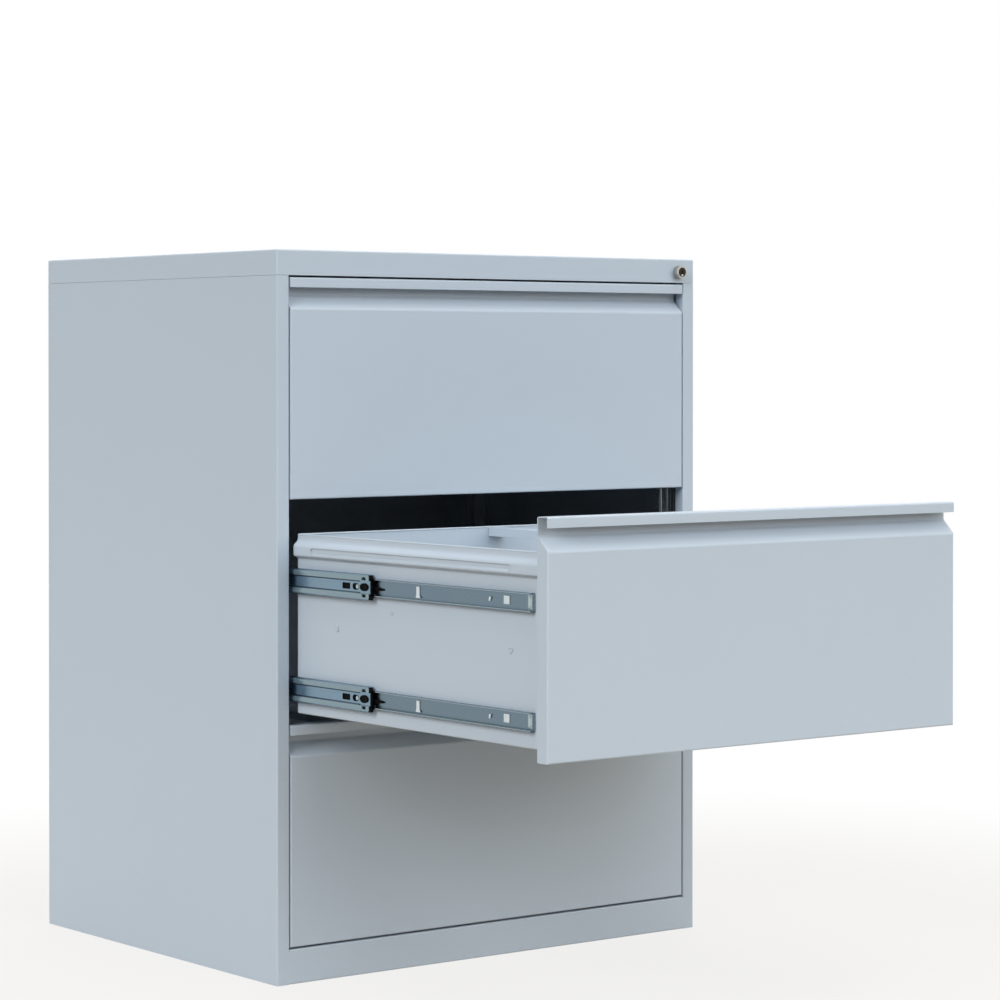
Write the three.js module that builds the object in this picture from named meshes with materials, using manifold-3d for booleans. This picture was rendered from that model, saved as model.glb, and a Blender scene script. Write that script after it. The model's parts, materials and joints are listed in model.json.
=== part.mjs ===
// A three-drawer steel filing cabinet: hanging-file drawers on pairs of telescopic slides, with a gang lock.
// Millimetres, +Z up, +X to the viewer's right, +Y to the back. Sections put y = 0 on the closed fronts.
import * as THREE from 'three';
import { mergeVertices } from 'three/addons/utils/BufferGeometryUtils.js';
import Module from 'manifold-3d';

const wasm = await Module();
wasm.setup();

// Carcass
const cabinetWidth = 770;
const cabinetDepth = 638;
const cabinetHeight = 1030;
const carcassSheet = 1.2;
const carcassBend = 2.4;
const fit = 0.3;
const topSkirt = 36;
const topFlange = 12;
const stileWidth = 21;
const stileReturn = 18;
const rearFlange = 20;
const plinthHeight = 49;
const plinthLedge = 20;
const plinthFoot = 30;
const baseFlange = 25;

// Slide uprights
const uprightDepth = 20.5;
const uprightWidth = 34;
const uprightFoot = 12;
const rearUprightInset = 110;
const uprightChannels = [{ start: 6, width: 10, depth: 8 }, { start: 20, width: 7, depth: 4 }];

// Drawer fronts
const drawerCount = 3;
const openDrawer = 1;
const frontGap = 2.7;
const frontSideGap = 1.8;
const frontThickness = 21;
const frontSheet = 1.2;
const frontBend = 2.4;
const lipBend = 1.4;
const frontFlange = 20;
const lipHeight = 14;
const recessHeight = 25;
const creaseDrop = 44;

// Drawer bodies, with heights above the bottom of the front
const bodySheet = 1.2;
const bodyRearSpace = 61;
const bodyFloor = 14;
const bodyRim = 266;
const rimNeck = 9;
const rimShoulder = 6.5;
const rimBand = 14.5;
const rimFoot = 4;
const rimBulge = 7.4;
const rimBend = 3;
const rimFootBend = 1.6;
const rimGroove = { height: 9, depth: 2, frontInset: 60, rearInset: 41 };
const frontWallDrop = 27;

// Centre hanging rail
const railWidth = 28;
const railHeight = 12.5;
const railDrop = 1.8;
const railSheet = 1.5;

// Telescopic slides: outer, middle and inner members
const slideHeights = { lower: 49, upper: 201 };
const slideSheet = 1.2;
const slideBend = 2;
const slideThickness = 12.7;
const raceClearance = 0.4;
const outerHalf = 22.5;
const outerDepth = 11.5;
const middleHalf = 17.5;
const middleWeb = 2.4;
const middleDepth = 10.6;
const middleStep = 1.8;
const middleBead = 5.3;
const innerHalf = 12.5;
const innerWeb = 5.6;
const slideRearShort = 6;
const middleSetback = 8.3;
const middleRearShort = 20;
const middleReach = 187;
const innerSetback = 19;
const middleSlot = { length: 18.5, height: 8.4, inset: 47, corner: 1.6 };
const middleHole = { length: 15, height: 9, inset: 26.5 };
const raceHole = { length: 8, height: 4.2, inset: 8.5, level: 11.6 };

// Gang lock
const lockDrop = 20;
const lockInset = 32.2;
const lockFlangeRadius = 10;
const lockFlangeDepth = 11;
const lockNose = 2.4;
const lockBarrelRadius = 9;
const lockBarrelLength = 14;
const plugRadius = 6.8;
const keySlot = { width: 1.6, height: 7, depth: 9 };
const camRadius = 8;
const camThickness = 2;
const camThrow = 2.3;
const camPinRadius = 2;
const camPinClearance = 0.4;
const camRestAngle = Math.PI / 4;
const barThickness = 2;
const barWall = 3;
const barFootGap = 6;
const lugHeight = 20;
const lugLevel = 130;
const lugThickness = 2;
const sideRunClearance = 1.3;

const turnSegments = 24;
const arcSegments = 3;
const bendSegments = 3;
const mergeTolerance = 1e-4;

// Places that follow from the sizes above
const half = cabinetWidth / 2;
const sideHeight = cabinetHeight - topSkirt - fit;
const backInside = cabinetDepth - 2 * carcassSheet - fit;
const frontWidth = cabinetWidth - 2 * (stileWidth + frontSideGap);
const frontSpan = cabinetHeight - topSkirt - plinthHeight - (drawerCount + 1) * frontGap;
const frontHeight = frontSpan / drawerCount;
const recessDepth = frontThickness - frontSheet;
const uprightFace = half - carcassSheet - fit - uprightDepth;
const slideBack = uprightFace - fit;
const slideFace = slideBack - slideThickness;
const wallFace = slideFace - fit;
const bodyStart = frontThickness + fit;
const bodyEnd = cabinetDepth - bodyRearSpace;
const barStart = frontThickness + sideRunClearance;
const barEnd = barStart + barThickness;
const lugStart = barEnd + sideRunClearance;
const uprightStart = lugStart + lugThickness + sideRunClearance;
const slideStart = uprightStart;
const slideEnd = bodyEnd - slideRearShort;
const middleStart = slideStart + middleSetback;
const lugReach = half - stileWidth - sideRunClearance;
const barInner = lugReach + sideRunClearance;
const barOuter = half - topFlange - barWall / 2;
const barTop = sideHeight - barWall;
const lockX = half - lockInset;
const lockZ = cabinetHeight - lockDrop;
const camPinX = lockX + camThrow * Math.cos(camRestAngle);
const camPinZ = lockZ + camThrow * Math.sin(camRestAngle);
const camSlotHalf = camPinRadius + camPinClearance;
const camFront = lockBarrelLength + fit;
const drawerPull = bodyEnd;
const middleTravel = middleStart + middleReach;
const drawerLevels = Array.from({ length: drawerCount }, (_, i) => {
  const below = drawerCount - 1 - i;
  return plinthHeight + frontGap + below * (frontHeight + frontGap);
});

const powderCoat = new THREE.MeshStandardMaterial({ color: 0xb4bec8, roughness: 0.5, metalness: 0.05 });
const zincSteel = new THREE.MeshStandardMaterial({ color: 0x8d9ba6, roughness: 0.34, metalness: 0.9 });
const chrome = new THREE.MeshStandardMaterial({ color: 0xcdd0d3, roughness: 0.12, metalness: 1 });

// A geometry as a solid that can be joined and cut.
function solid(geometry) {
  geometry.deleteAttribute('normal');
  geometry.deleteAttribute('uv');
  const merged = mergeVertices(geometry, mergeTolerance);
  const vertProperties = new Float32Array(merged.attributes.position.array);
  const triVerts = new Uint32Array(merged.index.array);
  return new wasm.Manifold(new wasm.Mesh({ numProp: 3, vertProperties, triVerts }));
}

function geometryOf(shape) {
  const mesh = shape.getMesh();
  const geometry = new THREE.BufferGeometry();
  geometry.setAttribute('position', new THREE.BufferAttribute(mesh.vertProperties, 3));
  geometry.setIndex(new THREE.BufferAttribute(mesh.triVerts, 1));
  geometry.computeVertexNormals();
  return geometry;
}

function joined(first, ...others) {
  return others.reduce((whole, other) => whole.add(other), first);
}

function block(xRange, yRange, zRange) {
  const ranges = [xRange, yRange, zRange].map(([a, b]) => [Math.min(a, b), Math.max(a, b)]);
  const geometry = new THREE.BoxGeometry(...ranges.map(([low, high]) => high - low));
  geometry.translate(...ranges.map(([low, high]) => (low + high) / 2));
  return solid(geometry);
}

function extruded(shape, from, to) {
  const settings = { depth: to - from, bevelEnabled: false, curveSegments: arcSegments };
  return new THREE.ExtrudeGeometry(shape, settings);
}

// A shape drawn in (y, z), run along X.
function alongX(shape, from, to) {
  const turn = new THREE.Matrix4().makeBasis(
    new THREE.Vector3(0, 1, 0), new THREE.Vector3(0, 0, 1), new THREE.Vector3(1, 0, 0));
  return solid(extruded(shape, from, to).applyMatrix4(turn).translate(from, 0, 0));
}

// A shape drawn in (x, z), run along Y.
function alongY(shape, from, to) {
  return solid(extruded(shape, from, to).rotateX(Math.PI / 2).translate(0, to, 0));
}

// A shape drawn in (x, y), run along Z.
function alongZ(shape, from, to) {
  return solid(extruded(shape, from, to).translate(0, 0, from));
}

function polygon(corners) {
  return new THREE.Shape(corners.map(([u, v]) => new THREE.Vector2(u, v)));
}

// The corners of a folded sheet, each bent to its own radius where it has one.
function bentLine(corners) {
  const points = corners.map(([u, v]) => new THREE.Vector2(u, v));
  const path = new THREE.Path();
  path.moveTo(points[0].x, points[0].y);
  for (let i = 1; i < points.length - 1; i += 1) {
    const radius = corners[i][2] ?? 0;
    const before = points[i - 1].clone().sub(points[i]).setLength(radius).add(points[i]);
    const after = points[i + 1].clone().sub(points[i]).setLength(radius).add(points[i]);
    path.lineTo(before.x, before.y);
    if (radius > 0) path.quadraticCurveTo(points[i].x, points[i].y, after.x, after.y);
  }
  const last = points[points.length - 1];
  path.lineTo(last.x, last.y);
  return path.getPoints(bendSegments);
}

// The section of a folded sheet: the line of corners is one face, and the sheet lies to its left.
function sheetSection(corners, thickness, side = 1) {
  const face = bentLine(corners);
  const steps = face.slice(1).map((point, i) => point.clone().sub(face[i]).normalize());
  const normals = steps.map((step) => new THREE.Vector2(-step.y, step.x));
  const back = face.map((point, i) => {
    const before = normals[Math.max(i - 1, 0)];
    const after = normals[Math.min(i, normals.length - 1)];
    const mitre = before.clone().add(after).multiplyScalar(thickness / (1 + before.dot(after)));
    return point.clone().add(mitre);
  });
  const outline = [...face, ...back.reverse()];
  return new THREE.Shape(outline.map((point) => new THREE.Vector2(side * point.x, point.y)));
}

// A slot with round ends about a centre, its long way along the first axis.
function stadium(u, v, length, height) {
  const radius = height / 2;
  const reach = length / 2 - radius;
  const shape = new THREE.Shape();
  shape.absarc(u + reach, v, radius, -Math.PI / 2, Math.PI / 2, false);
  shape.absarc(u - reach, v, radius, Math.PI / 2, 1.5 * Math.PI, false);
  return shape;
}

// A turned ring or rod about the lock's axis, from (radius, y) corners.
function turned(corners) {
  const profile = corners.map(([radius, y]) => new THREE.Vector2(radius, y));
  profile.push(profile[0].clone());
  return solid(new THREE.LatheGeometry(profile, turnSegments).translate(lockX, 0, lockZ));
}

// A round bar along Y about a point of the (x, z) plane.
function roundBar(x, z, radius, from, to) {
  const geometry = new THREE.CylinderGeometry(radius, radius, to - from, turnSegments);
  return solid(geometry.translate(x, (from + to) / 2, z));
}

function place(parent, name, shape, material) {
  const mesh = new THREE.Mesh(shape.isBufferGeometry ? shape : geometryOf(shape), material);
  mesh.name = name;
  parent.add(mesh);
  return mesh;
}

// A side panel: wall, boxed stile at the front and flange at the back, folded from one sheet.
function sidePanel(side) {
  const corners = [
    [half - stileWidth, stileReturn],
    [half - stileWidth, 0, carcassBend],
    [half, 0, carcassBend],
    [half, cabinetDepth, carcassBend],
    [half - rearFlange, cabinetDepth],
  ];
  return alongZ(sheetSection(corners, carcassSheet, side), 0, sideHeight);
}

// The back sheet, seated on the rear flanges clear of their bends.
function backPanel() {
  const reach = half - carcassSheet - carcassBend;
  return block([-reach, reach], [backInside, backInside + carcassSheet], [0, sideHeight]);
}

function roundedRectangle([left, right], [low, high], radius) {
  const shape = new THREE.Shape();
  shape.absarc(right - radius, high - radius, radius, 0, Math.PI / 2, false);
  shape.absarc(left + radius, high - radius, radius, Math.PI / 2, Math.PI, false);
  shape.absarc(left + radius, low + radius, radius, Math.PI, 1.5 * Math.PI, false);
  shape.absarc(right - radius, low + radius, radius, 1.5 * Math.PI, 2 * Math.PI, false);
  return shape;
}

// A block whose edges along all three axes are bent to one radius, except around its underside.
function bentLid(reach, front, back, low, high) {
  const width = [-reach, reach];
  const depth = [front, back];
  const height = [low - 2 * carcassBend, high];
  const fromAbove = alongZ(roundedRectangle(width, depth, carcassBend), low, high);
  const fromFront = alongY(roundedRectangle(width, height, carcassBend), front, back);
  const fromSide = alongX(roundedRectangle(depth, height, carcassBend), -reach, reach);
  return fromAbove.intersect(fromFront).intersect(fromSide);
}

// The top: a lid with a deep skirt, a flange turned in under it and a hole for the lock.
function topPanel() {
  const low = cabinetHeight - topSkirt;
  const lid = bentLid(half, 0, cabinetDepth, low, cabinetHeight);
  const hollowX = half - carcassSheet;
  const hollowY = [carcassSheet, cabinetDepth - carcassSheet];
  const hollow = block([-hollowX, hollowX], hollowY, [low + carcassSheet, cabinetHeight - carcassSheet]);
  const mouthX = half - topFlange;
  const mouthY = [topFlange, cabinetDepth - topFlange];
  const mouth = block([-mouthX, mouthX], mouthY, [low - fit, low + 2 * carcassSheet]);
  const lockHole = turned([
    [0, -carcassSheet],
    [lockBarrelRadius + fit, -carcassSheet],
    [lockBarrelRadius + fit, 2 * carcassSheet],
    [0, 2 * carcassSheet],
  ]);
  return lid.subtract(hollow).subtract(mouth).subtract(lockHole);
}

// The floor of the carcass, with flanges turned down along the sides.
function basePanel() {
  const reach = half - carcassSheet - fit;
  const corners = [
    [reach, plinthHeight - baseFlange],
    [reach, plinthHeight, carcassBend],
    [-reach, plinthHeight, carcassBend],
    [-reach, plinthHeight - baseFlange],
  ];
  return alongY(sheetSection(corners, carcassSheet), plinthLedge + fit, backInside - fit);
}

// The kick rail between the stiles, with a ledge above and a foot below.
function plinthRail() {
  const corners = [
    [plinthLedge, plinthHeight],
    [0, plinthHeight, carcassBend],
    [0, 0, carcassBend],
    [plinthFoot, 0],
  ];
  const reach = half - stileWidth - fit;
  return alongX(sheetSection(corners, carcassSheet), -reach, reach);
}

// A hat-section upright against a side wall, with rolled channels along the web that carries the slides.
function upright(side, start) {
  const wall = half - carcassSheet - fit;
  const web = uprightFace + carcassSheet;
  const front = start + carcassSheet;
  const back = start + uprightWidth - carcassSheet;
  const channels = uprightChannels.flatMap((channel) => {
    const low = start + channel.start - carcassSheet;
    const high = start + channel.start + channel.width + carcassSheet;
    return [[web, low], [web + channel.depth, low], [web + channel.depth, high], [web, high]];
  });
  const corners = [
    [wall, front - uprightFoot],
    [wall, front],
    [web, front],
    ...channels,
    [web, back],
    [wall, back],
    [wall, back + uprightFoot],
  ];
  return alongZ(sheetSection(corners, carcassSheet, side), plinthHeight + fit, sideHeight - fit);
}

// Slide sections are drawn inward from the outer member's back, at the height of the slide.
function slideSection(corners, side) {
  const placed = corners.map(([inward, z, radius]) => [slideBack - inward, z, radius]);
  return sheetSection(placed, slideSheet, side);
}

// The cabinet member, a deep channel whose lips hold the middle member.
function outerMember(side) {
  const lip = middleHalf + raceClearance;
  const corners = [
    [outerDepth, -lip],
    [outerDepth, -outerHalf, slideBend],
    [0, -outerHalf, slideBend],
    [0, outerHalf, slideBend],
    [outerDepth, outerHalf, slideBend],
    [outerDepth, lip],
  ];
  return alongY(slideSection(corners, side), slideStart, slideEnd);
}

// The middle member: a channel with raised race beads, and a latch slot and stop holes near its front.
function middleMember(side) {
  const lip = innerHalf + raceClearance;
  const beadEnd = middleHalf - middleBead;
  const webHalf = beadEnd - middleStep;
  const lower = [
    [middleDepth, -lip],
    [middleDepth, -middleHalf, slideBend],
    [middleWeb, -middleHalf, slideBend],
    [middleWeb, -beadEnd],
    [middleWeb + middleStep, -webHalf],
  ];
  const upper = lower.map(([inward, z, radius]) => [inward, -z, radius]).reverse();
  const channel = alongY(slideSection([...lower, ...upper], side), middleStart, slideEnd - middleRearShort);
  const cutDepth = middleWeb + middleStep + 2 * slideSheet;
  const through = [slideBack, slideBack - cutDepth].map((x) => side * x).sort((a, b) => a - b);
  const slotY = [middleStart + middleSlot.inset, middleStart + middleSlot.inset + middleSlot.length];
  const slotZ = [-middleSlot.height / 2, middleSlot.height / 2];
  const openings = [
    roundedRectangle(slotY, slotZ, middleSlot.corner),
    ...[[middleHole, 0], [raceHole, raceHole.level], [raceHole, -raceHole.level]].map(([hole, level]) => {
      const centre = middleStart + hole.inset + hole.length / 2;
      return stadium(centre, level, hole.length, hole.height);
    }),
  ];
  return openings.reduce((whole, opening) => whole.subtract(alongX(opening, ...through)), channel);
}

// The drawer member, a shallow channel fixed to the drawer wall.
function innerMember(side) {
  const corners = [
    [innerWeb, innerHalf],
    [slideThickness, innerHalf, slideBend],
    [slideThickness, -innerHalf, slideBend],
    [innerWeb, -innerHalf],
  ];
  return alongY(slideSection(corners, side), frontThickness + innerSetback, slideEnd);
}

// What a bent upright edge of a front leaves off a square one.
function foldTrim(edge, side) {
  const shape = new THREE.Shape();
  shape.moveTo(edge - side * frontBend, -fit);
  shape.lineTo(edge - side * frontBend, 0);
  shape.quadraticCurveTo(edge, 0, edge, frontBend);
  shape.lineTo(edge + side * fit, frontBend);
  shape.lineTo(edge + side * fit, -fit);
  return shape;
}

// A drawer front: one folded skin with a hooked lip, finger recess, slanted band and boxed edges.
function drawerFront() {
  const backWall = frontHeight - recessHeight;
  const crease = frontHeight - creaseDrop;
  const faceFolds = [
    [recessDepth, backWall, frontBend],
    [0, crease, frontBend],
    [0, 0, frontBend],
    [frontThickness, 0, frontBend],
  ];
  const corners = [
    [frontSheet, frontHeight - lipHeight],
    [frontSheet, frontHeight - frontSheet, lipBend],
    [recessDepth, frontHeight - frontSheet, lipBend],
    ...faceFolds,
    [frontThickness, frontFlange],
  ];
  const reach = frontWidth / 2;
  const skin = alongX(sheetSection(corners, frontSheet), -reach, reach);
  const endTop = [frontThickness, backWall + frontBend];
  const endOutline = new THREE.Shape(bentLine([[recessDepth, endTop[1]], ...faceFolds, endTop]));
  const edges = [-1, 1].flatMap((side) => {
    const outer = side * reach;
    const wallSpan = [outer, outer - side * frontSheet].sort((a, b) => a - b);
    const end = alongX(endOutline, ...wallSpan);
    const flangeDepth = [recessDepth, frontThickness];
    return [end, block([outer, outer - side * frontFlange], flangeDepth, [frontBend, backWall])];
  });
  const folds = [-1, 1].map((side) => alongZ(foldTrim(side * reach, side), -fit, crease));
  return folds.reduce((whole, fold) => whole.subtract(fold), joined(skin, ...edges));
}

// Half of the drawer body's section, from its floor up the wall to the rolled rim.
function wallCorners() {
  const bandTop = bodyRim - rimNeck - rimShoulder;
  const bandFoot = bandTop - rimBand;
  return [
    [wallFace, bodyFloor, rimBend],
    [wallFace, bandFoot - rimFoot, rimFootBend],
    [wallFace + rimBulge, bandFoot, rimFootBend],
    [wallFace + rimBulge, bandTop, rimBend],
    [wallFace, bodyRim - rimNeck, rimBend],
    [wallFace, bodyRim],
  ];
}

// The stamped groove of a rim band: what it presses inwards and what it leaves hollow.
function rimGrooveSolids(side) {
  const level = bodyRim - rimNeck - rimShoulder - rimBand / 2;
  const span = [bodyStart + rimGroove.frontInset, bodyEnd - rimGroove.rearInset];
  const length = span[1] - span[0];
  const middle = (span[0] + span[1]) / 2;
  const crest = wallFace + rimBulge;
  const spanX = (from, to) => [side * from, side * to].sort((a, b) => a - b);
  const outline = stadium(middle, level, length + 2 * bodySheet, rimGroove.height + 2 * bodySheet);
  const pressed = alongX(outline, ...spanX(crest - rimGroove.depth - bodySheet, crest - bodySheet / 2));
  const hollow = alongX(
    stadium(middle, level, length, rimGroove.height), ...spanX(crest - rimGroove.depth, crest + bodySheet));
  return { pressed, hollow };
}

// A drawer body: floor and walls folded from one sheet, with welded front and back walls and a lock lug.
function drawerBody() {
  const right = wallCorners();
  const left = right.map(([x, z, radius]) => [-x, z, radius]).reverse();
  const wrap = alongY(sheetSection([...left, ...right], bodySheet), bodyStart, bodyEnd);
  const seam = wallFace - bodySheet / 2;
  const wallFoot = bodyFloor + bodySheet / 2;
  const backWall = block([-seam, seam], [bodyEnd - bodySheet, bodyEnd], [wallFoot, bodyRim]);
  const frontTop = frontHeight - frontWallDrop;
  const frontWall = block([-seam, seam], [bodyStart, bodyStart + bodySheet], [wallFoot, frontTop]);
  const lug = block([seam, lugReach], [lugStart, lugStart + lugThickness], [lugLevel, lugLevel + lugHeight]);
  const grooves = [-1, 1].map(rimGrooveSolids);
  const whole = joined(wrap, backWall, frontWall, lug, ...grooves.map((groove) => groove.pressed));
  return grooves.reduce((body, groove) => body.subtract(groove.hollow), whole);
}

// The rail along the middle of a drawer that carries the inner hooks of the hanging files.
function centreRail() {
  const high = bodyRim - railDrop;
  const low = high - railHeight;
  const reach = railWidth / 2;
  const corners = [[reach, low], [reach, high], [-reach, high], [-reach, low]];
  const inset = bodySheet + fit;
  return alongY(sheetSection(corners, railSheet), bodyStart + inset, bodyEnd - inset);
}

function lockHousing() {
  const bore = plugRadius + fit;
  const nose = Array.from({ length: bendSegments + 1 }, (_, i) => {
    const turn = (i / bendSegments) * (Math.PI / 2);
    const radius = lockFlangeRadius - lockNose + lockNose * Math.sin(turn);
    return [radius, lockNose - lockFlangeDepth - lockNose * Math.cos(turn)];
  });
  return turned([
    [bore, -lockFlangeDepth],
    ...nose,
    [lockFlangeRadius, -fit],
    [lockBarrelRadius, -fit],
    [lockBarrelRadius, lockBarrelLength],
    [bore, lockBarrelLength],
  ]);
}

function lockPlug() {
  const rod = turned([
    [0, -lockFlangeDepth],
    [plugRadius, -lockFlangeDepth],
    [plugRadius, lockBarrelLength],
    [0, lockBarrelLength],
  ]);
  const slotX = [lockX - keySlot.width / 2, lockX + keySlot.width / 2];
  const slotY = [-2 * lockFlangeDepth, keySlot.depth - lockFlangeDepth];
  const slotZ = [lockZ - keySlot.height / 2, lockZ + keySlot.height / 2];
  return rod.subtract(block(slotX, slotY, slotZ));
}

// The cam behind the plug: a disc with an offset pin that shifts the bar.
function lockCam() {
  const disc = roundBar(lockX, lockZ, camRadius, camFront, camFront + camThickness);
  return joined(disc, roundBar(camPinX, camPinZ, camPinRadius, camFront, barEnd));
}

// The bar that the cam shifts sideways, to stand in front of the lug of every drawer.
function lockBar() {
  return block([barInner, barOuter], [barStart, barEnd], [plinthHeight + barFootGap, barTop]);
}

// The plate at the head of the bar, with an upright slot for the pin of the cam.
function lockBarHead() {
  const slotX = [camPinX - camSlotHalf, camPinX + camSlotHalf];
  const slotZ = [camPinZ - camSlotHalf, lockZ + camThrow + camSlotHalf];
  const plate = block([slotX[0] - barWall, barOuter], [barStart, barEnd], [barTop + fit, slotZ[1] + barWall]);
  return plate.subtract(block(slotX, [barStart - fit, barEnd + fit], slotZ));
}

const cabinet = new THREE.Group();
cabinet.position.y = -plinthFoot / 2;

const sides = { left: -1, right: 1 };
const rearUprightStart = backInside - rearUprightInset;
for (const [sideName, side] of Object.entries(sides)) {
  place(cabinet, `${sideName}_side_panel`, sidePanel(side), powderCoat);
  place(cabinet, `${sideName}_front_upright`, upright(side, uprightStart), powderCoat);
  place(cabinet, `${sideName}_rear_upright`, upright(side, rearUprightStart), powderCoat);
}
place(cabinet, 'back_panel', backPanel(), powderCoat);
place(cabinet, 'top_panel', topPanel(), powderCoat);
place(cabinet, 'base_panel', basePanel(), powderCoat);
place(cabinet, 'plinth', plinthRail(), powderCoat);
place(cabinet, 'lock_housing', lockHousing(), chrome);
place(cabinet, 'lock_plug', lockPlug(), chrome);
place(cabinet, 'lock_cam', lockCam(), zincSteel);
place(cabinet, 'lock_bar', lockBar(), zincSteel);
place(cabinet, 'lock_bar_head', lockBarHead(), zincSteel);

const frontGeometry = geometryOf(drawerFront());
const bodyGeometry = geometryOf(drawerBody());
const railGeometry = geometryOf(centreRail());
const memberGeometry = Object.fromEntries(Object.entries(sides).map(([sideName, side]) => [sideName, {
  outer: geometryOf(outerMember(side)),
  middle: geometryOf(middleMember(side)),
  inner: geometryOf(innerMember(side)),
}]));

drawerLevels.forEach((level, i) => {
  const label = `drawer_${i + 1}`;
  const isOpen = i === openDrawer;
  const fixed = new THREE.Group();
  const carried = new THREE.Group();
  const drawer = new THREE.Group();
  fixed.position.set(0, 0, level);
  carried.position.set(0, isOpen ? -middleTravel : 0, level);
  drawer.position.set(0, isOpen ? -drawerPull : 0, level);
  cabinet.add(fixed, carried, drawer);
  place(drawer, `${label}_front`, frontGeometry, powderCoat);
  place(drawer, `${label}_body`, bodyGeometry, powderCoat);
  place(drawer, `${label}_centre_rail`, railGeometry, powderCoat);
  for (const sideName of Object.keys(sides)) {
    for (const [heightName, height] of Object.entries(slideHeights)) {
      const slide = `${label}_${sideName}_${heightName}`;
      const members = memberGeometry[sideName];
      place(fixed, `${slide}_outer`, members.outer, zincSteel).position.z = height;
      place(carried, `${slide}_middle`, members.middle, zincSteel).position.z = height;
      place(drawer, `${slide}_inner`, members.inner, zincSteel).position.z = height;
    }
  }
});

export default cabinet;
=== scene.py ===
import json
import math
import bmesh
import bpy
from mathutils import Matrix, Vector


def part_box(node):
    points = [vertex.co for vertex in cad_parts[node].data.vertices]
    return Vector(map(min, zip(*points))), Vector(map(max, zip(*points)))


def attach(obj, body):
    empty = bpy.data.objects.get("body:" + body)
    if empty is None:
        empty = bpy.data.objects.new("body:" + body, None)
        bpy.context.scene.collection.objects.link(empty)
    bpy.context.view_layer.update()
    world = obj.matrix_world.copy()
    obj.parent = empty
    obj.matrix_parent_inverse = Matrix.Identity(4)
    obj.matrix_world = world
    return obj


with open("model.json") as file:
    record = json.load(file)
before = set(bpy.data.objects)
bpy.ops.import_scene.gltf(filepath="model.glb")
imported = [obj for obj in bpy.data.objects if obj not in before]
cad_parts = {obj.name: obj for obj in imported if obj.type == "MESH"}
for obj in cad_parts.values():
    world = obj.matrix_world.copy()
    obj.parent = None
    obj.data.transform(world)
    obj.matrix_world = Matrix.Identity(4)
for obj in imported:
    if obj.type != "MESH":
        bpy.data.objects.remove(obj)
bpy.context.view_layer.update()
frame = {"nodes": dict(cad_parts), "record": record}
mm = 0.001
print("cabinet frame loaded,", len(frame["nodes"]), "nodes")


# a shader socket that can be used in sums
class Wire:
    def __init__(self, tree, socket=None):
        self.tree = tree
        self.socket = socket

    def add(self, kind, settings, inputs, output=0):
        node = self.tree.nodes.new(kind)
        for name, value in settings.items():
            if name == "stops":
                ramp = node.color_ramp.elements
                while len(ramp) < len(value):
                    ramp.new(0.5)
                for stop, (place, colour) in zip(ramp, value):
                    stop.position = place
                    stop.color = colour
            else:
                setattr(node, name, value)
        for name, value in inputs.items():
            if isinstance(value, Wire):
                self.tree.links.new(value.socket, node.inputs[name])
            else:
                node.inputs[name].default_value = value
        return Wire(self.tree, node.outputs[output] if node.outputs else None)

    def maths(self, operation, first, second):
        return self.add("ShaderNodeMath", {"operation": operation}, {0: first, 1: second})

    def __add__(self, other):
        return self.maths("ADD", self, other)

    def __radd__(self, other):
        return self.maths("ADD", other, self)

    def __sub__(self, other):
        return self.maths("SUBTRACT", self, other)

    def __rsub__(self, other):
        return self.maths("SUBTRACT", other, self)

    def __mul__(self, other):
        return self.maths("MULTIPLY", self, other)

    def __rmul__(self, other):
        return self.maths("MULTIPLY", other, self)


def linear(code):
    parts = [int(code[i:i + 2], 16) / 255 for i in (0, 2, 4)]
    return [p / 12.92 if p <= 0.04045 else ((p + 0.055) / 1.055) ** 2.4 for p in parts] + [1]


def startMaterial(name):
    made = bpy.data.materials.new(name)
    made.use_nodes = True
    made.node_tree.nodes.clear()
    return made, Wire(made.node_tree)


def closeMaterial(made, wire, inputs):
    shader = wire.add("ShaderNodeBsdfPrincipled", {}, inputs)
    wire.add("ShaderNodeOutputMaterial", {"target": "ALL"}, {"Surface": shader})
    made.diffuse_color = made.node_tree.nodes["Principled BSDF"].inputs["Base Color"].default_value
    return made


def noise(wire, where, scale, detail, roughness=0.5):
    inputs = {"Vector": where, "Scale": scale, "Detail": detail, "Roughness": roughness}
    return wire.add("ShaderNodeTexNoise", {}, inputs)


def mixColour(wire, amount, first, second):
    return wire.add("ShaderNodeMix", {"data_type": "RGBA"}, {0: amount, 6: first, 7: second}, 2)


# baked powder coat on thin sheet: fine orange peel, a slow ripple, faint clouds
powderLook = {"colour": "b4bec8", "cloud": "b9c3cc", "peel": 850, "ripple": 5, "roughness": 0.44}


def powderCoat():
    made, wire = startMaterial("powderCoat")
    where = wire.add("ShaderNodeTexCoord", {}, {}, "Object")
    peel = noise(wire, where, powderLook["peel"], 2)
    grit = noise(wire, where, powderLook["peel"] * 3.1, 1)
    ripple = noise(wire, where, powderLook["ripple"], 1)
    clouds = noise(wire, where, 9, 4, 0.6)
    colour = mixColour(wire, clouds * 0.5 + peel * 0.3, linear(powderLook["colour"]), linear(powderLook["cloud"]))
    height = peel * 0.00002 + grit * 0.000005 + ripple * 0.0004
    bump = wire.add("ShaderNodeBump", {}, {"Strength": 0.5, "Distance": 1.0, "Height": height})
    rough = powderLook["roughness"] + (peel - 0.5) * 0.12 + (clouds - 0.5) * 0.08
    return closeMaterial(made, wire, {"Base Color": colour, "Roughness": rough, "Normal": bump,
                                      "Specular IOR Level": 0.4})


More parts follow.
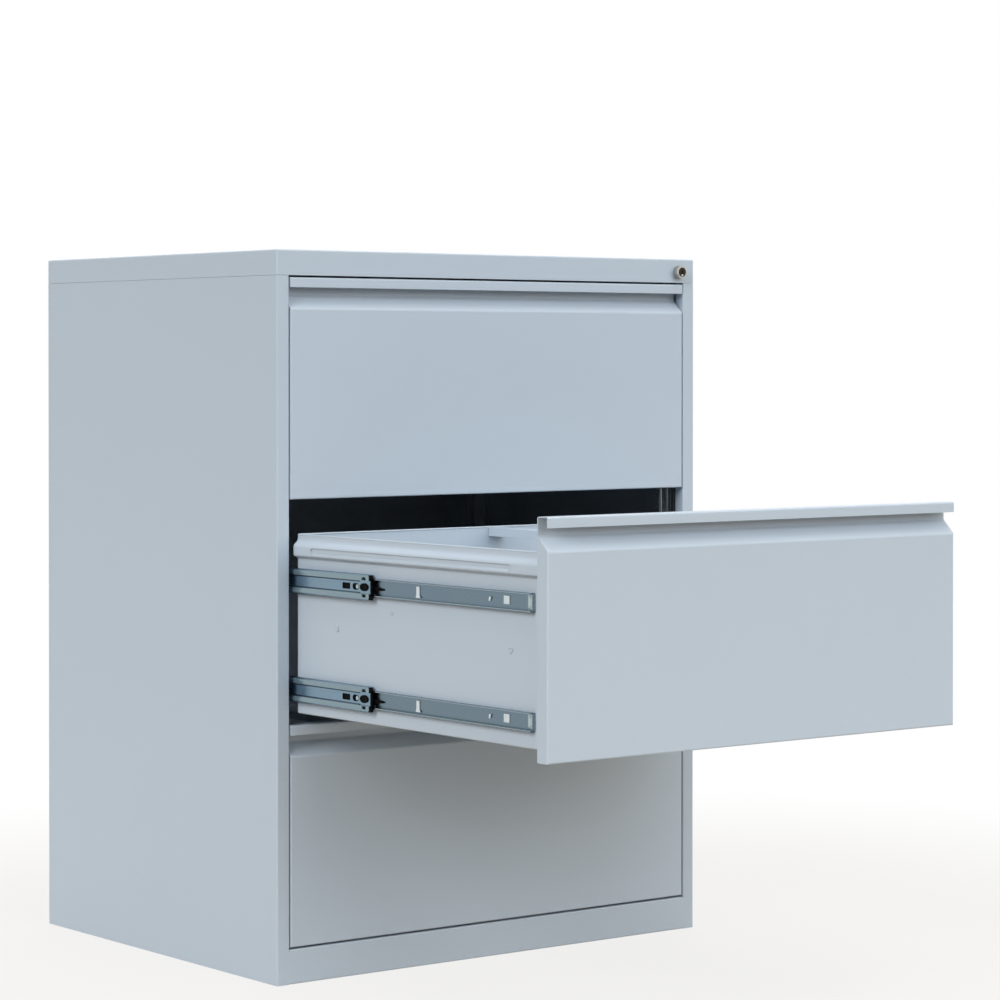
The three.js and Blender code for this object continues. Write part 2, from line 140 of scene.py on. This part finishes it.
# zinc plate: rolling lines along the slide, bluish and straw clouds; the paler plate of rivets, lips and end plates is
# the same zinc, painted lighter as painted highlight
zincLook = {"blue": "697f94", "straw": "76878a", "pale": "8b9dac", "roughness": 0.27}
# the middle members' copy is painted lighter and bluer as painted reflection, the inner members' darker as painted
# shade
middleReflectionLook = {"blue": "6e89a2", "straw": "7b9197", "pale": "91a8bc", "roughness": 0.27}
innerShadeLook = {"blue": "62778b", "straw": "6f7f81", "pale": "8293a2", "roughness": 0.27}
# paler copy for the race bands: painted highlight
beadHighlightLook = {"blue": "7f949e", "straw": "859699", "pale": "9cacb7", "roughness": 0.27}
# darker copy for the feet of the race beads: painted shade and grease
greaseAndShadeLook = {"blue": "44586a", "straw": "4b5b62", "pale": "5d6f7b", "roughness": 0.33}
# paler copy of the zinc: painted highlight
highlightLook = {"blue": "9fb0b8", "straw": "a7b3b1", "pale": "c3ced3", "roughness": 0.24}
# palest copy of the zinc: painted highlight on the wall tabs, painted light on the front uprights and lock bar inside
# the opening
brightHighlightLook = {"blue": "c6d0d5", "straw": "ccd1d0", "pale": "e2e8ea", "roughness": 0.3}


def zincPlate(name, look):
    made, wire = startMaterial(name)
    where = wire.add("ShaderNodeTexCoord", {}, {}, "Object")
    stretched = wire.add("ShaderNodeMapping", {}, {"Vector": where, "Scale": (1600, 8, 1600)})
    lines = noise(wire, stretched, 1, 2)
    clouds = noise(wire, where, 14, 3, 0.6)
    spots = noise(wire, where, 420, 2)
    tint = mixColour(wire, clouds, linear(look["blue"]), linear(look["straw"]))
    colour = mixColour(wire, lines * 0.25 + spots * 0.12, tint, linear(look["pale"]))
    bump = wire.add("ShaderNodeBump", {}, {"Strength": 0.2, "Distance": 1.0, "Height": lines * 0.000003})
    rough = look["roughness"] + (lines - 0.5) * 0.1 + (clouds - 0.5) * 0.12
    return closeMaterial(made, wire, {"Base Color": colour, "Metallic": 1.0, "Roughness": rough, "Normal": bump})


chromeLook = {"colour": "c6c3be", "dull": "867f76", "roughness": 0.12}


def chromePlate():
    made, wire = startMaterial("chromePlate")
    where = wire.add("ShaderNodeTexCoord", {}, {}, "Object")
    film = noise(wire, where, 240, 3)
    scratch = wire.add("ShaderNodeMapping", {}, {"Vector": where, "Rotation": (0.3, 0.6, 0.2), "Scale": (300, 4000, 300)})
    hairs = noise(wire, scratch, 1, 1)
    colour = mixColour(wire, film * 0.4, linear(chromeLook["colour"]), linear(chromeLook["dull"]))
    bump = wire.add("ShaderNodeBump", {}, {"Strength": 0.25, "Distance": 1.0, "Height": hairs * 0.000004})
    rough = chromeLook["roughness"] + film * 0.06 + hairs * 0.03
    return closeMaterial(made, wire, {"Base Color": colour, "Metallic": 1.0, "Roughness": rough, "Normal": bump})


# dark nickel of the lock plug with a brown cast that is painted reflection, and a painted highlight below the slot
nickelLook = {"colour": "2a2622", "pale": "4f473c", "roughness": 0.22, "paintedHighlight": "e2ded6", "reach": (0.0009, 0.0024), "drop": 0.0044}
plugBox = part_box("lock_plug")


def darkNickelPaintedReflection():
    made, wire = startMaterial("darkNickelPaintedReflection")
    where = wire.add("ShaderNodeTexCoord", {}, {}, "Object")
    stains = noise(wire, where, 190, 3, 0.6)
    turning = noise(wire, where, 1500, 1)
    paintedReflection = mixColour(wire, stains * 0.7 + turning * 0.15, linear(nickelLook["colour"]), linear(nickelLook["pale"]))
    centre = [(a + b) / 2 for a, b in zip(*plugBox)]
    # painted highlight around a spot below the key slot
    spot = (centre[0], plugBox[0][1], centre[2] - nickelLook["drop"])
    away = wire.add("ShaderNodeVectorMath", {"operation": "DISTANCE"}, {0: where, 1: spot}, "Value")
    paintedHighlight = wire.add("ShaderNodeMapRange", {"interpolation_type": "SMOOTHSTEP"},
                      {"Value": away, "From Min": nickelLook["reach"][0], "From Max": nickelLook["reach"][1],
                       "To Min": 1.0, "To Max": 0.0})
    colour = mixColour(wire, paintedHighlight, paintedReflection, linear(nickelLook["paintedHighlight"]))
    bump = wire.add("ShaderNodeBump", {}, {"Strength": 0.25, "Distance": 1.0, "Height": turning * 0.000006})
    rough = nickelLook["roughness"] + (stains - 0.5) * 0.12
    return closeMaterial(made, wire, {"Base Color": colour, "Metallic": 1.0, "Roughness": rough, "Normal": bump})


# moulded nylon of the slide bumpers and levers
nylonLook = {"colour": "08090a", "worn": "141516", "roughness": 0.6}


def blackNylon():
    made, wire = startMaterial("blackNylon")
    where = wire.add("ShaderNodeTexCoord", {}, {}, "Object")
    grain = noise(wire, where, 2200, 2)
    scuffs = noise(wire, where, 160, 4, 0.65)
    colour = mixColour(wire, scuffs * 0.6, linear(nylonLook["colour"]), linear(nylonLook["worn"]))
    bump = wire.add("ShaderNodeBump", {}, {"Strength": 0.5, "Distance": 1.0, "Height": grain * 0.00002})
    rough = nylonLook["roughness"] + (scuffs - 0.5) * 0.2
    return closeMaterial(made, wire, {"Base Color": colour, "Roughness": rough, "Normal": bump,
                                      "Specular IOR Level": 0.03})


finishes = {"powder_coat": powderCoat(), "zinc_steel": zincPlate("zincPlate", zincLook), "chrome": chromePlate()}
highlightZinc = zincPlate("highlightZinc", highlightLook)
brightHighlightZinc = zincPlate("brightHighlightZinc", brightHighlightLook)
beadHighlightZinc = zincPlate("beadHighlightZinc", beadHighlightLook)
greaseAndShadeZinc = zincPlate("greaseAndShadeZinc", greaseAndShadeLook)
members = {"middle": zincPlate("middleReflectionZinc", middleReflectionLook), "inner": zincPlate("innerShadeZinc", innerShadeLook), "plug": darkNickelPaintedReflection(),
           # front uprights and lock bar: palest zinc as painted light
           "front_upright": brightHighlightZinc, "lock_bar": brightHighlightZinc}
nylon = blackNylon()
print("finishes mixed")


# shades the bends of the folded sheets smoothly and leaves the flats flat
def bendShading(limit):
    group = bpy.data.node_groups.new("bendShading", "GeometryNodeTree")
    group.interface.new_socket("Geometry", in_out="INPUT", socket_type="NodeSocketGeometry")
    group.interface.new_socket("Geometry", in_out="OUTPUT", socket_type="NodeSocketGeometry")
    wire = Wire(group)
    source = wire.add("NodeGroupInput", {}, {})
    angle = wire.add("GeometryNodeInputMeshEdgeAngle", {}, {})
    sharp = wire.add("FunctionNodeCompare", {"operation": "GREATER_THAN"}, {0: angle, 1: math.radians(limit)})
    soft = wire.add("GeometryNodeSetShadeSmooth", {"domain": "FACE"}, {"Geometry": source, "Shade Smooth": True})
    split = wire.add("GeometryNodeSetShadeSmooth", {"domain": "EDGE"},
                     {"Geometry": soft, "Selection": sharp, "Shade Smooth": False})
    wire.add("NodeGroupOutput", {}, {0: split})
    return group


sheetEdges = {"weld": 0.00002, "bevel": 0.0005, "bevelFrom": 50, "smoothTo": 42}
shading = bendShading(sheetEdges["smoothTo"])
slotOf = {part["node"]: part["material_slot"] for part in frame["record"]["subparts"]}
for name, node in frame["nodes"].items():
    node.data.materials.clear()
    finish = [members[ending] for ending in members if name.endswith(ending)] or [finishes[slotOf[name]]]
    node.data.materials.append(finish[0])
    weld = node.modifiers.new("weld", "WELD")
    weld.merge_threshold = sheetEdges["weld"]
    edge = node.modifiers.new("edge", "BEVEL")
    edge.width = sheetEdges["bevel"]
    edge.segments = 2
    edge.limit_method = "ANGLE"
    edge.angle_limit = math.radians(sheetEdges["bevelFrom"])
    smooth = node.modifiers.new("smooth", "NODES")
    smooth.node_group = shading
    even = node.modifiers.new("even", "WEIGHTED_NORMAL")
    even.keep_sharp = True
print("sheet metal finished")


# the slides' own frame: x inwards from the slide's back, y rearwards from a member's front end, z from mid-height
def startBlock(name, low, high):
    bpy.ops.object.select_all(action="DESELECT")
    middle = [(a + b) / 2 * mm for a, b in zip(low, high)]
    span = [(b - a) * mm for a, b in zip(low, high)]
    bpy.ops.mesh.primitive_cube_add(size=1, location=middle, scale=span)
    bpy.ops.object.transform_apply(location=True, rotation=False, scale=True)
    bpy.context.object.name = name
    return bpy.context.object


def startDisc(name, radius, low, high, y, z, sides=28):
    bpy.ops.object.select_all(action="DESELECT")
    bpy.ops.mesh.primitive_cylinder_add(vertices=sides, radius=radius * mm, depth=(high - low) * mm,
                                        location=((low + high) / 2 * mm, y * mm, z * mm), rotation=(0, math.pi / 2, 0))
    bpy.ops.object.transform_apply(location=True, rotation=True, scale=True)
    bpy.context.object.name = name
    return bpy.context.object


def edit(piece):
    bpy.ops.object.select_all(action="DESELECT")
    piece.select_set(True)
    bpy.context.view_layer.objects.active = piece
    bpy.ops.object.mode_set(mode="EDIT")
    bpy.context.tool_settings.mesh_select_mode = (False, False, True)


def cutAcross(axis, places):
    for place in places:
        bpy.ops.mesh.select_all(action="SELECT")
        point, normal = [0, 0, 0], [0, 0, 0]
        point[axis], normal[axis] = place * mm, 1
        bpy.ops.mesh.bisect(plane_co=point, plane_no=normal)


def pick(piece, facing, test):
    mesh = bmesh.from_edit_mesh(piece.data)
    bpy.ops.mesh.select_all(action="DESELECT")
    for face in mesh.faces:
        if face.normal.dot(facing) > 0.9 and test(*(face.calc_center_median() / mm)):
            face.select_set(True)
    bmesh.update_edit_mesh(piece.data)


def pull(x, y, z):
    bpy.ops.mesh.extrude_region_move(TRANSFORM_OT_translate={"value": (x * mm, y * mm, z * mm)})


def widen(x, y, z, about):
    bpy.ops.transform.resize(value=(x, y, z), center_override=[place * mm for place in about])


def easeEdges(piece, width, segments=2, angle=40):
    bpy.ops.object.mode_set(mode="OBJECT")
    edge = piece.modifiers.new("edge", "BEVEL")
    edge.width = width * mm
    edge.segments = segments
    edge.limit_method = "ANGLE"
    edge.angle_limit = math.radians(angle)
    bpy.ops.object.modifier_apply(modifier="edge")
    bpy.ops.object.shade_smooth_by_angle(angle=math.radians(35))


def together(name, parts):
    bpy.ops.object.select_all(action="DESELECT")
    for part in parts:
        part.select_set(True)
    bpy.context.view_layer.objects.active = parts[0]
    if len(parts) > 1:
        bpy.ops.object.join()
    parts[0].name = name
    return parts[0]


def otherHand(piece):
    bpy.ops.object.select_all(action="DESELECT")
    piece.select_set(True)
    bpy.context.view_layer.objects.active = piece
    bpy.ops.object.duplicate()
    twin = bpy.context.object
    twin.scale.x = -1
    bpy.ops.object.transform_apply(location=False, rotation=False, scale=True)
    bpy.ops.object.mode_set(mode="EDIT")
    bpy.ops.mesh.select_all(action="SELECT")
    bpy.ops.mesh.normals_make_consistent(inside=False)
    bpy.ops.object.mode_set(mode="OBJECT")
    return twin


def setDown(master, name, place, finish, body):
    piece = master.copy()
    piece.data = master.data.copy()
    piece.name = name
    piece.data.name = name
    bpy.context.collection.objects.link(piece)
    bpy.ops.object.select_all(action="DESELECT")
    piece.select_set(True)
    bpy.context.view_layer.objects.active = piece
    piece.location = place
    bpy.ops.object.transform_apply(location=True, rotation=False, scale=False)
    piece.data.materials.clear()
    piece.data.materials.append(finish)
    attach(piece, body)
    return piece


# moulded stop on the front end of a middle member: toothed nose, two ears, and a black tongue behind the web that fills
# the holes with dark, as painted shade and as the black latch part there
bumperShape = {"low": (2.2, -5.4, -10.4), "high": (8.6, -0.2, 10.4), "noseFace": 4.4, "earFace": 5.2, "noseFront": -2.6,
               "earNeck": 1.6, "earTip": 4.6, "teeth": (2.4, 6.2), "tooth": 1.4, "tongue": (5.6, 6.8), "tongueHalf": 7.5,
               "tongueEnd": 69, "earRear": 2.4}
bumper = startBlock("bumper", (bumperShape["noseFace"], bumperShape["noseFront"], bumperShape["low"][2]), bumperShape["high"])
edit(bumper)
cutAcross(0, bumperShape["tongue"])
cutAcross(2, [side * place for side in (-1, 1) for place in (*bumperShape["teeth"], bumperShape["tongueHalf"])])
pick(bumper, Vector((0, -1, 0)), lambda x, y, z: abs(z) < bumperShape["teeth"][0] or abs(z) > bumperShape["teeth"][1])
pull(0, -bumperShape["tooth"], 0)
# the black tongue behind the holes: painted shade, and the latch part behind the web
pick(bumper, Vector((0, 1, 0)), lambda x, y, z: abs(z) < bumperShape["tongueHalf"] and
     bumperShape["tongue"][0] < x < bumperShape["tongue"][1])
pull(0, bumperShape["tongueEnd"], 0)
easeEdges(bumper, 0.35)
ears = []
for side in (-1, 1):
    root = sorted(side * place for place in (9.4, 10.4))
    ear = startBlock("ear", (*bumperShape["low"][:2], root[0]), (bumperShape["earFace"], bumperShape["earRear"], root[1]))
    edit(ear)
    pick(ear, Vector((0, 0, side)), lambda x, y, z: True)
    widen(1, 0.25, 1, (0, -2.4, 0))
    pull(0, 0, side * bumperShape["earNeck"])
    widen(1, 4, 1, (0, -2.4, 0))
    pull(0, 0, side * bumperShape["earTip"])
    easeEdges(ear, 0.35)
    ears.append(ear)
bumper = together("bumper", [bumper, *ears])

bossShape = {"radius": 5.4, "long": 1.68, "low": 2.7, "high": 4.6, "y": 13.6, "rim": 1.1, "dish": 0.5}
boss = startDisc("boss", bossShape["radius"], bossShape["low"], bossShape["high"], bossShape["y"], 0, 36)
edit(boss)
bpy.ops.mesh.select_all(action="SELECT")
widen(1, bossShape["long"], 1, (0, bossShape["y"], 0))
pick(boss, Vector((-1, 0, 0)), lambda x, y, z: True)
bpy.ops.mesh.inset(thickness=bossShape["rim"] * mm)
pull(bossShape["dish"], 0, 0)
easeEdges(boss, 0.25)
bumper = together("bumper", [bumper, boss])

# bright rivet at the front of the oval hole, in the paler zinc that is painted highlight
rivetShape = {"radius": 3.2, "low": 3.9, "high": 5.8, "y": 30.3, "crown": 0.55}
rivet = startDisc("rivet", rivetShape["radius"], rivetShape["low"], rivetShape["high"], rivetShape["y"], 0)
edit(rivet)
pick(rivet, Vector((-1, 0, 0)), lambda x, y, z: True)
bpy.ops.mesh.inset(thickness=rivetShape["radius"] * 0.45 * mm)
bpy.ops.transform.translate(value=(-rivetShape["crown"] * mm, 0, 0))
easeEdges(rivet, 0.3, 3, 15)

# race beads of the middle member, broader than its folds: a band in paler zinc as painted highlight, broken by the stop
# hole, and a foot in darker zinc as painted shade and grease
beadShape = {"depth": (2.17, 3.4), "height": (8.8, 15.6), "taper": 0.62, "ledge": (13.9, 15.6), "sill": (8.8, 9.5), "hole": (7.8, 17.2)}
footShape = {"depth": (2.3, 4.3), "height": (6.8, 9.4), "edge": 0.19, "front": 25}
ends = {"front": 0.6, "rear": (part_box("drawer_1_left_lower_middle")[1][1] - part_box("drawer_1_left_lower_middle")[0][1]) / mm - 3}
beads, feet = [], []
for side in (-1, 1):
    runs = [(ends["front"], beadShape["hole"][0], "height"), (*beadShape["hole"], "ledge"), (*beadShape["hole"], "sill"),
            (beadShape["hole"][1], ends["rear"], "height")]
    for start, end, span in runs:
        heights = sorted(side * place for place in beadShape[span])
        bead = startBlock("bead", *zip(beadShape["depth"], (start, end), heights))
        edit(bead)
        pick(bead, Vector((1, 0, 0)), lambda x, y, z: True)
        widen(1, 1, beadShape["taper"], (0, 0, side * beadShape[span][0]))
        easeEdges(bead, 0.12, 2, 30)
        beads.append(bead)
    heights = sorted(side * place for place in footShape["height"])
    foot = startBlock("foot", *zip(footShape["depth"], (footShape["front"], ends["rear"]), heights))
    edit(foot)
    pick(foot, Vector((-1, 0, 0)), lambda x, y, z: True)
    widen(1, 1, footShape["edge"], (0, 0, side * footShape["height"][1]))
    easeEdges(foot, 0.08, 1, 30)
    feet.append(foot)
races = together("races", beads)
greaseAndShade = together("greaseAndShade", feet)

# rolled lips along the open edges of the inner member, in the paler zinc that is painted highlight along the edges
lipShape = {"depth": (5.7, 6.7), "height": (10.7, 12.4), "ends": 2}
length = (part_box("drawer_1_left_lower_inner")[1][1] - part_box("drawer_1_left_lower_inner")[0][1]) / mm
rows = (lipShape["ends"], length - lipShape["ends"])
lips = []
for side in (-1, 1):
    heights = sorted(side * place for place in lipShape["height"])
    lip = startBlock("lip", *zip(lipShape["depth"], rows, heights))
    edit(lip)
    easeEdges(lip, 0.35, 3)
    lips.append(lip)
lips = together("lips", lips)

# latch lever lying in the inner member, drawn out to a point at the front
leverShape = {"low": (9.2, 327, -5.2), "high": (11.2, 371, 1.2), "shoulder": 346, "tip": 0.36, "dip": -2}
lever = startBlock("lever", leverShape["low"], leverShape["high"])
edit(lever)
cutAcross(1, (leverShape["shoulder"],))
pick(lever, Vector((0, -1, 0)), lambda x, y, z: True)
widen(0.6, 1, leverShape["tip"], (10.6, 0, leverShape["dip"]))
pick(lever, Vector((-1, 0, 0)), lambda x, y, z: y > leverShape["shoulder"])
bpy.ops.mesh.inset(thickness=1.2 * mm)
pull(0.6, 0, 0)
easeEdges(lever, 0.35)

# tabs of the drawer wall that come through the inner member, in the palest zinc as painted highlight
hookShape = {"low": (10.2, 245.6, -3.5), "high": (11.8, 252.8, 7), "drop": 4.6, "out": 1.2}
hook = startBlock("hook", hookShape["low"], hookShape["high"])
edit(hook)
pick(hook, Vector((0, 0, -1)), lambda x, y, z: True)
pull(-hookShape["out"], -1.5, -hookShape["drop"])
widen(1, 1.5, 1, (0, 248.5, 0))
easeEdges(hook, 0.4)

stampShape = {"low": (10.5, 51, -5), "high": (11.8, 63, 6), "rim": 2.2, "dish": 0.5}
stamp = startBlock("stamp", stampShape["low"], stampShape["high"])
edit(stamp)
pick(stamp, Vector((-1, 0, 0)), lambda x, y, z: True)
bpy.ops.mesh.inset(thickness=stampShape["rim"] * mm)
pull(stampShape["dish"], 0, 0)
easeEdges(stamp, 0.4)

flickShape = {"low": (10.3, 91, -3), "high": (11.8, 95, 3), "lean": (-0.8, -2.4)}
flick = startBlock("flick", flickShape["low"], flickShape["high"])
edit(flick)
pick(flick, Vector((0, 0, 1)), lambda x, y, z: True)
bpy.ops.transform.translate(value=(flickShape["lean"][0] * mm, flickShape["lean"][1] * mm, 0))
easeEdges(flick, 0.35)
tabs = together("tabs", [hook, stamp, flick])

# folded front end of the inner member, with two rivet heads, in the paler zinc that is painted highlight
endShape = {"low": (10.6, 3.5, -9.5), "high": (11.8, 12.5, 9.5), "rim": 1.2, "rise": 0.35, "rivets": (-6.2, 6.2)}
endPlate = startBlock("endPlate", endShape["low"], endShape["high"])
edit(endPlate)
pick(endPlate, Vector((-1, 0, 0)), lambda x, y, z: True)
bpy.ops.mesh.inset(thickness=endShape["rim"] * mm)
pull(-endShape["rise"], 0, 0)
easeEdges(endPlate, 0.3)
heads = []
for z in endShape["rivets"]:
    head = startDisc("head", 1.9, 9.7, 10.5, 8, z, 20)
    edit(head)
    pick(head, Vector((-1, 0, 0)), lambda x, y, z: True)
    bpy.ops.mesh.inset(thickness=0.8 * mm)
    bpy.ops.transform.translate(value=(-0.3 * mm, 0, 0))
    easeEdges(head, 0.2, 2, 15)
    heads.append(head)
endPlate = together("endPlate", [endPlate, *heads])

masters = {"left": [bumper, rivet, races, greaseAndShade, lips, lever, tabs, endPlate]}
masters["right"] = [otherHand(piece) for piece in masters["left"]]
for number in (1, 2, 3):
    drawer = f"drawer_{number}"
    for side in ("left", "right"):
        for height in ("lower", "upper"):
            slide = f"{drawer}_{side}_{height}"
            outer, middle, inner = [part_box(f"{slide}_{member}") for member in ("outer", "middle", "inner")]
            back = outer[0][0] if side == "left" else outer[1][0]
            centre = (middle[0][2] + middle[1][2]) / 2
            onMiddle = (back, middle[0][1], centre)
            onInner = (back, inner[0][1], centre)
            stop, pin, bead, foot, rolled, latch, wallTabs, plate = masters[side]
            setDown(stop, f"{slide}_bumper", onMiddle, nylon, f"{drawer}_slide_middles")
            setDown(pin, f"{slide}_rivet", onMiddle, highlightZinc, f"{drawer}_slide_middles")
            setDown(bead, f"{slide}_races", onMiddle, beadHighlightZinc, f"{drawer}_slide_middles")
            setDown(foot, f"{slide}_race_feet", onMiddle, greaseAndShadeZinc, f"{drawer}_slide_middles")
            setDown(rolled, f"{slide}_lips", onInner, highlightZinc, drawer)
            setDown(latch, f"{slide}_lever", onInner, nylon, drawer)
            setDown(wallTabs, f"{slide}_tabs", onInner, brightHighlightZinc, drawer)
            setDown(plate, f"{slide}_end_plate", onInner, highlightZinc, drawer)
for piece in masters["left"] + masters["right"]:
    bpy.data.objects.remove(piece)
print("slides fitted")

# spot-weld dimples on the outside of the drawer walls: rearwards from the wall's front, up from the floor, radius
dimpleShape = {"rise": 1.0, "rim": 0.38, "dish": 0.9, "places": ((439.9, 125.7, 4.2), (50.9, 123.7, 4.2), (310.9, 154.2, 2.4))}
for number in (1, 2, 3):
    drawer = f"drawer_{number}"
    low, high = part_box(f"{drawer}_body")
    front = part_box(f"{drawer}_left_lower_inner")[0][1]
    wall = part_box(f"{drawer}_left_lower_inner")[1][0]
    dots = []
    for side in (-1, 1):
        for y, z, radius in dimpleShape["places"]:
            dot = startDisc("dot", radius, -dimpleShape["rise"], 0.4, y, z, 24)
            edit(dot)
            pick(dot, Vector((-1, 0, 0)), lambda x, y, z: True)
            bpy.ops.mesh.inset(thickness=radius * dimpleShape["rim"] * mm)
            pull(dimpleShape["dish"], 0, 0)
            easeEdges(dot, 0.3, 2, 20)
            dot.scale.x = -side
            dot.location = (side * abs(wall), front, low[2])
            bpy.ops.object.transform_apply(location=True, rotation=False, scale=True)
            bpy.ops.object.mode_set(mode="EDIT")
            bpy.ops.mesh.select_all(action="SELECT")
            bpy.ops.mesh.normals_make_consistent(inside=False)
            bpy.ops.object.mode_set(mode="OBJECT")
            dots.append(dot)
    dimples = together(f"{drawer}_dimples", dots)
    dimples.data.materials.append(finishes["powder_coat"])
    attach(dimples, drawer)
print("drawer walls dimpled")

# hemmed top edges of the drawer walls, and the sloped foot of the groove stamped in each rim
hemShape = {"rim": 252, "out": 0.5, "in": 2.1, "down": 2.4, "up": 0.3, "round": 1.2, "front": 1.5, "rear": 0.6}
slopeShape = {"crest": 7.35, "depth": 2.3, "low": 27.3, "high": 24.1, "front": 66, "rear": 47}
for number in (1, 2, 3):
    drawer = f"drawer_{number}"
    low, high = [[place / mm for place in corner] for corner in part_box(f"{drawer}_body")]
    wall = -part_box(f"{drawer}_left_lower_inner")[1][0] / mm - 0.3
    rows = (low[1] + hemShape["front"], high[1] - hemShape["rear"])
    rim = low[2] + hemShape["rim"]
    heights = (rim - hemShape["down"], rim + hemShape["up"])
    strips = []
    for side in (-1, 1):
        across = sorted(side * place for place in (wall - hemShape["in"], wall + hemShape["out"]))
        strips.append(startBlock("hem", *zip(across, rows, heights)))
    rear = (high[1] - hemShape["in"], high[1] + hemShape["out"])
    strips.append(startBlock("hem", *zip((hemShape["in"] - wall, wall - hemShape["in"]), rear, heights)))
    for strip in strips:
        edit(strip)
        easeEdges(strip, hemShape["round"], 4)
    for side in (-1, 1):
        across = sorted(side * (wall + slopeShape["crest"] - place) for place in (0, slopeShape["depth"]))
        rows = (low[1] + slopeShape["front"], high[1] - slopeShape["rear"])
        slope = startBlock("slope", *zip(across, rows, (rim - slopeShape["low"], rim - slopeShape["high"])))
        edit(slope)
        pick(slope, Vector((0, 0, 1)), lambda x, y, z: True)
        widen(0.08, 1, 1, (side * (wall + slopeShape["crest"] - slopeShape["depth"]), 0, 0))
        easeEdges(slope, 0.06, 1)
        strips.append(slope)
    hems = together(f"{drawer}_hems", strips)
    hems.data.materials.append(finishes["powder_coat"])
    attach(hems, drawer)
print("rims hemmed")

# dressed welds that close the joint between the plinth and the stiles
weldShape = {"reach": (-0.7, 2.7), "depth": (0.06, 2.2), "height": (1.6, 46.8)}
low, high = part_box("plinth")
for side, name in ((-1, "left"), (1, "right")):
    across = sorted(side * (high[0] / mm + place) for place in weldShape["reach"])
    rows = [place + low[1] / mm for place in weldShape["depth"]]
    weld = startBlock(f"{name}_plinth_weld", *zip(across, rows, weldShape["height"]))
    edit(weld)
    cutAcross(0, (sum(across) / 2,))
    easeEdges(weld, 0.02, 1)
    weld.data.materials.append(finishes["powder_coat"])
    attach(weld, "cabinet")
print("plinth dressed")


# plain pale floor, white to the camera and to what mirrors it
floorLook = {"size": 5.4, "colour": "b6ada1", "near": 0.8, "far": 1.0, "fadeFrom": 0.8, "fadeTo": 2.0}
bpy.ops.object.select_all(action="DESELECT")
bpy.ops.mesh.primitive_plane_add(size=floorLook["size"], location=(0, 0, -0.0002))
floor = bpy.context.object
floor.name = "floor"
floorFinish, wire = startMaterial("floorFinish")
path = {name: wire.add("ShaderNodeLightPath", {}, {}, name) for name in
        ("Is Camera Ray", "Is Glossy Ray", "Is Transmission Ray")}
seen = wire.maths("MAXIMUM", wire.maths("MAXIMUM", path["Is Camera Ray"], path["Is Glossy Ray"]),
                path["Is Transmission Ray"])
where = wire.add("ShaderNodeTexCoord", {}, {}, "Object")
reach = wire.add("ShaderNodeVectorMath", {"operation": "LENGTH"}, {0: where}, "Value")
fade = wire.add("ShaderNodeMapRange", {"interpolation_type": "SMOOTHSTEP"},
                {"Value": reach, "From Min": floorLook["fadeFrom"], "From Max": floorLook["fadeTo"],
                 "To Min": floorLook["near"], "To Max": floorLook["far"]})
matt = wire.add("ShaderNodeBsdfDiffuse", {}, {"Color": linear(floorLook["colour"])})
glow = wire.add("ShaderNodeEmission", {}, {"Color": (1, 1, 1, 1), "Strength": 1.0})
surface = wire.add("ShaderNodeMixShader", {}, {0: seen * fade, 1: matt, 2: glow})
wire.add("ShaderNodeOutputMaterial", {"target": "ALL"}, {"Surface": surface})
floor.data.materials.append(floorFinish)

# world: soft light from above the floor, white where it is seen
roomLight = {"strength": 0.07}
world = bpy.data.worlds.new("room")
bpy.context.scene.world = world
world.use_nodes = True
world.node_tree.nodes.clear()
wire = Wire(world.node_tree)
path = {name: wire.add("ShaderNodeLightPath", {}, {}, name) for name in
        ("Is Camera Ray", "Is Glossy Ray", "Is Transmission Ray")}
seen = wire.maths("MAXIMUM", wire.maths("MAXIMUM", path["Is Camera Ray"], path["Is Glossy Ray"]),
                path["Is Transmission Ray"])
where = wire.add("ShaderNodeTexCoord", {}, {}, "Generated")
height = wire.add("ShaderNodeSeparateXYZ", {}, {0: where}, 2)
above = wire.add("ShaderNodeMapRange", {}, {"Value": height, "From Min": -0.02, "From Max": 0.02})
soft = above * roomLight["strength"]
level = soft + seen * (1 - soft)
sky = wire.add("ShaderNodeBackground", {}, {"Color": (1, 1, 1, 1), "Strength": level})
wire.add("ShaderNodeOutputWorld", {"target": "ALL"}, {"Surface": sky})

# large far lamps: bearing from the front towards the left, height above the floor and width, all in degrees
softLamps = [
    {"name": "top", "bearing": 0, "height": 88, "width": 50, "strength": 1.56, "tint": (1.0, 0.99, 0.98)},
    {"name": "left", "bearing": 75, "height": 30, "width": 40, "strength": 2.39, "tint": (0.93, 0.97, 1.0)},
    {"name": "front", "bearing": 0, "height": 30, "width": 40, "strength": 1.13, "tint": (0.78, 0.88, 1.0)},
    {"name": "right", "bearing": -35, "height": 30, "width": 40, "strength": 0.61, "tint": (0.96, 1.0, 1.0)},
    {"name": "rightLow", "bearing": -40, "height": 14, "width": 35, "strength": 0.59, "tint": (1.0, 0.9, 0.76)},
    {"name": "behind", "bearing": -140, "height": 28, "width": 45, "strength": 1.15, "tint": (1.0, 1.0, 1.0)},
]
for soft in softLamps:
    data = bpy.data.lights.new(soft["name"], "SUN")
    data.energy = soft["strength"]
    data.color = soft["tint"]
    data.angle = math.radians(soft["width"])
    lamp = bpy.data.objects.new(soft["name"], data)
    lamp.rotation_euler = (math.radians(90 - soft["height"]), 0, math.radians(-soft["bearing"]))
    lamp.visible_glossy = False  # the sheen mirrors the white room alone
    bpy.context.collection.objects.link(lamp)

cameraView = {"lens": 115.19, "shift": -0.1017, "at": (-2.86624, -3.73411, 0.87157), "pitch": -0.639, "yaw": -37.70}
data = bpy.data.cameras.new("camera")
data.lens = cameraView["lens"]
data.sensor_width = 36
data.shift_y = cameraView["shift"]
camera = bpy.data.objects.new("camera", data)
camera.location = cameraView["at"]
camera.rotation_euler = (math.radians(90 + cameraView["pitch"]), 0, math.radians(cameraView["yaw"]))
bpy.context.collection.objects.link(camera)
bpy.context.scene.camera = camera
bpy.context.scene.view_settings.view_transform = "Standard"
print("studio set")
